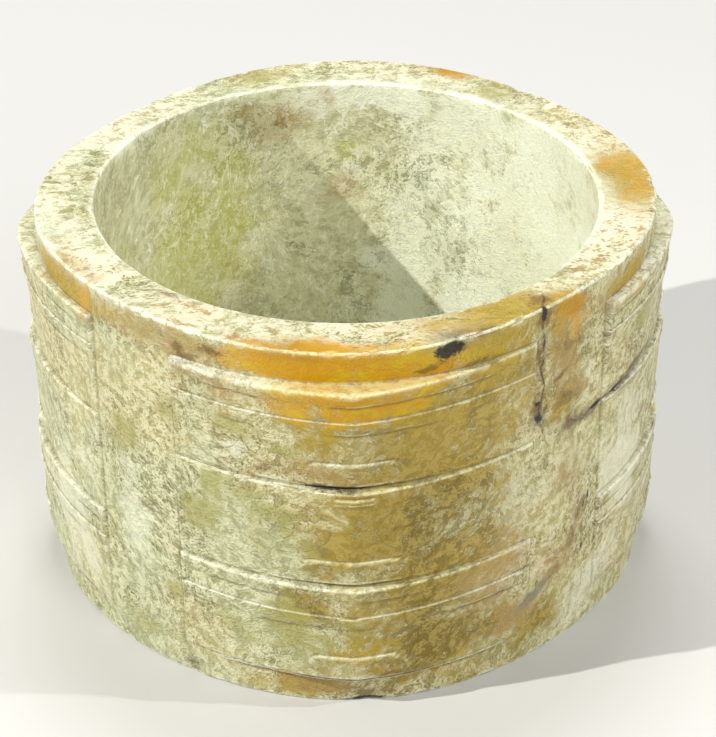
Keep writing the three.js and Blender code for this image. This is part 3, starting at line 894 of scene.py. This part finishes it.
def skinVeins(fine, skin):
    # long wavy pale veins that run up the bore, where a drawn-out noise crosses its middle, with gaps
    drawn = fed(node("VectorMath", operation="MULTIPLY"), fine.curled, look["veinRun"])
    vein = magnitude(less(noise(drawn, look["veinSize"], 2.0, 0.6), 0.5))
    veins = times(stretch(vein, 0.03, 0.0), stretch(fine.mottle, 0.4, 0.62))
    veins = times(veins, stretch(fine.bored, 0, 1, 0.1, 0.75))
    return blend(veins, skin, blend(fine.bored, "pale", "paleMint"))


def skinFlakes(fine, stain, skin):
    # pale flakes, olive patches, pits, furrows and fibres, fewer where the skin is pale, bored or crusted
    calm = larger(stain.pale, larger(times(fine.bored, 0.7), times(stain.crust, 0.75)))
    flaking = times(stretch(fine.flakes, 0.0, 0.08), stretch(fine.bored, 0, 1, 0.55, 0.25))
    skin = blend(flaking, skin, "pale")
    patchy = times(stretch(fine.etched, 0, 1, 0.3, 0.55), stretch(calm, 0, 1, 1, 0.2))
    skin = blend(times(stretch(fine.flakes, -0.03, -0.12), patchy), skin, "oliveDeep")
    skin = blend(times(fine.pits, patchy), skin, "furrowBase")
    furrowing = times(stretch(fine.etched, 0.1, 0.8, 0.05, 0.5), stretch(calm, 0, 1, 1, 0.25))
    skin = blend(times(fine.furrows, furrowing), skin, "furrowBase")
    skin = layOver(skin, "fibre", fine.fibres, "pale")
    core = times(stainMask(fine, "veined", *look["veinedCore"]), 0.45)
    patches = larger(larger(stretch(fine.flakes, -0.03, -0.1), core), fine.furrows)
    return layOver(skin, "vein", times(stain.veined, patches))


def freshTone(fine):
    # the fresh stone that shows through the skin: golden olive in two drifting tones, with a few pale veins
    drifting = stretch(add(times(fine.clouds, 0.5), times(fine.roughly, 1.5)), -0.25, 0.25)
    veins = larger(fine.fibres, stretch(fine.flakes, 0.01, 0.1))
    return blend(times(veins, 0.5), blend(drifting, "freshDeep", "freshLight"), "freshVein")


def amberTone(fine):
    # deep amber, lighter where the clouds are
    tone = blend(stretch(fine.clouds, -0.5, -0.1), "amberDeep", "amberBase")
    return blend(stretch(add(times(fine.clouds, 0.6), fine.roughly), 0.0, 0.35), tone, "amberLight")


def stained(fine, stain, colour, crusting):
    # the stains over the stone, the last on top, with edges and ledges paler, wear and painted highlight
    # together, and hollows darker, dirt and painted shade together
    edgeWearHighlightTone = blend(times(larger(stain.fresh, stain.amber), 0.7), "edgeWearHighlight", "edgeGoldWearHighlight")
    for name, mask, *tone in (
        ("fresh", stain.fresh, freshTone(fine)),
        ("olive", times(stain.olive, stretch(fine.bored, 0, 1, 0.7, 0.12)), "oliveStain"),
        ("tan", times(stain.tan, stretch(fine.flakes, 0.08, -0.06, 0.3, 0.7))),
        ("crust", crusting),
        ("gold", stain.gold),
        ("spot", times(stain.crust, stretch(fine.flakes, -0.04, -0.1))),
        ("apricot", stain.apricot),
        ("amber", stain.amber, amberTone(fine)),
        ("slate", stain.slate),
        ("brown", stain.brown),
        # hollows and scored panel edges painted dark, dirt and painted shade together
        ("hollowDirtShade", attribute("hollowDirtShade")),
        # edges and up-facing ledges painted pale, wear and painted highlight together
        ("worn", times(attribute("edge"), stretch(fine.flakes, -0.09, 0.04, 0.4, 1.0)), edgeWearHighlightTone),
        ("dark", stain.dark),
    ):
        colour = layOver(colour, name, mask, *tone)
    return colour


def incisedMask(fine):
    # the incised lines, worn away in places by the mottle
    lines = None
    for name in eyeLines:
        line = stretch(magnitude(attribute(name)), 1.8, 0.3)
        lines = line if lines is None else larger(lines, line)
    return times(lines, stretch(fine.mottle, 0.36, 0.55))


def crackMask(fine):
    # the cracks, their sides torn by the grain and mottle, fainter in places
    apart = add(magnitude(attribute("crack")), add(times(fine.finely, 6.0), times(fine.roughly, 6.0)))
    mask = times(stretch(apart, 2.0, 0.3), attribute("crackNearness"))
    return times(mask, stretch(fine.mottle, 0.38, 0.56, 0.25, 1.0))


def fineHeight(fine, stain, lines, cracking):
    # height of the fine surface in mm, the skin rougher than the fresh stone, less the lines and cracks
    skin = add(times(fine.finely, 0.15), times(less(fine.fibres, fine.furrows), 0.03))
    skin = add(skin, times(fine.flakes, 0.3))
    ground = larger(times(fine.bored, 0.4), times(stain.crust, 0.5))
    smoothing = times(stretch(attribute("fresh"), 0.3, -0.3, 0.35, 1.0), less(1.0, ground))
    relief = times(times(skin, smoothing), stretch(stain.amber, 0, 1, 1.0, 0.45))
    relief = less(relief, times(lines, carving["lineDepth"]))
    return less(relief, times(cracking, look["crackDepth"]))


def surfaceRoughness(fine, stain, crusting):
    # rougher in pits, crust and hollows, smoother on amber and fresh stone
    grained = stretch(fine.grain, 0.3, 0.7, *look["roughness"])
    rough = add(times(larger(fine.pits, crusting), look["roughPits"]), grained)
    rough = less(rough, times(larger(stain.amber, stain.fresh), look["smoothFresh"]))
    return add(rough, times(attribute("hollowDirtShade"), look["roughHollow"]))


def makeJade():
    # the stone's material: skin, stains, lines and cracks from the bottom up
    fine = finePattern()
    masks = {name: stainMask(fine, name, *border) for name, border in look["border"].items()}
    stain = SimpleNamespace(**masks)
    crusting = stretch(add(times(fine.roughly, 0.9), times(fine.finely, 0.35)), -0.06, 0.03)
    crusting = times(stain.crust, crusting)
    skin = skinFlakes(fine, stain, skinVeins(fine, skinGround(fine, stain)))
    colour = stained(fine, stain, skin, crusting)
    lines = incisedMask(fine)
    colour = layOver(colour, "line", lines, "oliveDeep")
    cracking = crackMask(fine)
    colour = layOver(colour, "crack", cracking)
    bump = node("Bump")
    put(bump.inputs["Height"], fineHeight(fine, stain, lines, cracking))
    put(bump.inputs["Distance"], mm)
    put(bump.inputs["Strength"], look["bumpStrength"])
    shader = tree.nodes["Principled BSDF"]
    put(shader.inputs["Base Color"], colour)
    put(shader.inputs["Roughness"], surfaceRoughness(fine, stain, crusting))
    put(shader.inputs["Normal"], bump.outputs[0])
    shader.inputs["IOR"].default_value = look["ior"]
    shader.inputs["Specular IOR Level"].default_value = look["specular"]
    return jade


floorSet = dict(half=2.0, colour=(0.62, 0.62, 0.61, 1.0), roughness=0.8)


def makeFloor():
    # one large plain square at the foot's height
    half = floorSet["half"]
    mesh = bpy.data.meshes.new("floor")
    corners = [(-half, -half, 0), (half, -half, 0), (half, half, 0), (-half, half, 0)]
    mesh.from_pydata(corners, [], [(0, 1, 2, 3)])
    material = bpy.data.materials.new("paleFloor")
    material.use_nodes = True
    shader = material.node_tree.nodes["Principled BSDF"]
    shader.inputs["Base Color"].default_value = floorSet["colour"]
    shader.inputs["Roughness"].default_value = floorSet["roughness"]
    mesh.materials.append(material)
    floor = placed("floor", mesh)


cameraSet = dict(
    place=(-4.567 * mm, -339.472 * mm, 231.672 * mm),
    yaw=0.993,
    pitch=31.348,
    roll=-0.54,
    lens=150.14,
    sensor=36.0,
    clipStart=0.01,
)


def makeCamera():
    # aimed by yaw clockwise from +Y, pitch below level, and roll about its own axis
    yaw, pitch, roll = (math.radians(cameraSet[name]) for name in ("yaw", "pitch", "roll"))
    turn = Matrix.Rotation(-yaw, 4, "Z") @ Matrix.Rotation(math.pi / 2 - pitch, 4, "X")
    data = bpy.data.cameras.new("camera")
    data.lens = cameraSet["lens"]
    data.sensor_width = cameraSet["sensor"]
    data.clip_start = cameraSet["clipStart"]
    camera = placed("camera", data)
    camera.matrix_world = Matrix.Translation(cameraSet["place"]) @ turn @ Matrix.Rotation(roll, 4, "Z")
    bpy.context.scene.camera = camera


# Round lights aimed at the origin: degrees off the front ridge and above level, then metres, metres and watts
lights = dict(
    key=dict(turn=-71.0, lift=37.5, distance=0.9, size=0.012, power=7.3, colour=(1.0, 0.97, 0.90)),
    second=dict(turn=79.0, lift=37.0, distance=0.9, size=0.02, power=2.8, colour=(1.0, 0.98, 0.94)),
    overhead=dict(turn=178.0, lift=68.0, distance=0.9, size=0.35, power=3.6, colour=(1.0, 0.99, 0.96)),
    fill=dict(turn=30.0, lift=34.0, distance=1.2, size=0.8, power=6.0, colour=(1.0, 0.99, 0.97)),
)
studio = dict(colour=(0.95, 0.97, 1.0, 1.0), strength=0.2)


def makeLights():
    # the lights, and an even faint light all round
    for name, light in lights.items():
        data = bpy.data.lights.new(name, "AREA")
        data.shape = "DISK"
        data.size = light["size"]
        data.energy = light["power"]
        data.color = light["colour"]
        lift = math.radians(light["lift"])
        toward = ringPoint(light["turn"], math.cos(lift), math.sin(lift))
        lamp = placed(name, data)
        lamp.location = Vector(toward) * light["distance"]
        lamp.rotation_euler = Vector(toward).to_track_quat("Z", "Y").to_euler()
    world = bpy.data.worlds.new("studio")
    world.use_nodes = True
    background = world.node_tree.nodes["Background"]
    background.inputs["Color"].default_value = studio["colour"]
    background.inputs["Strength"].default_value = studio["strength"]
    bpy.context.scene.world = world
    bpy.context.scene.view_settings.view_transform = "Standard"


cong = makeRing()
cong.data.materials.append(makeJade())
print("jade material made")
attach(cong, "root")
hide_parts(nodeName)
makeFloor()
makeCamera()
makeLights()
print("floor, camera and lights made")
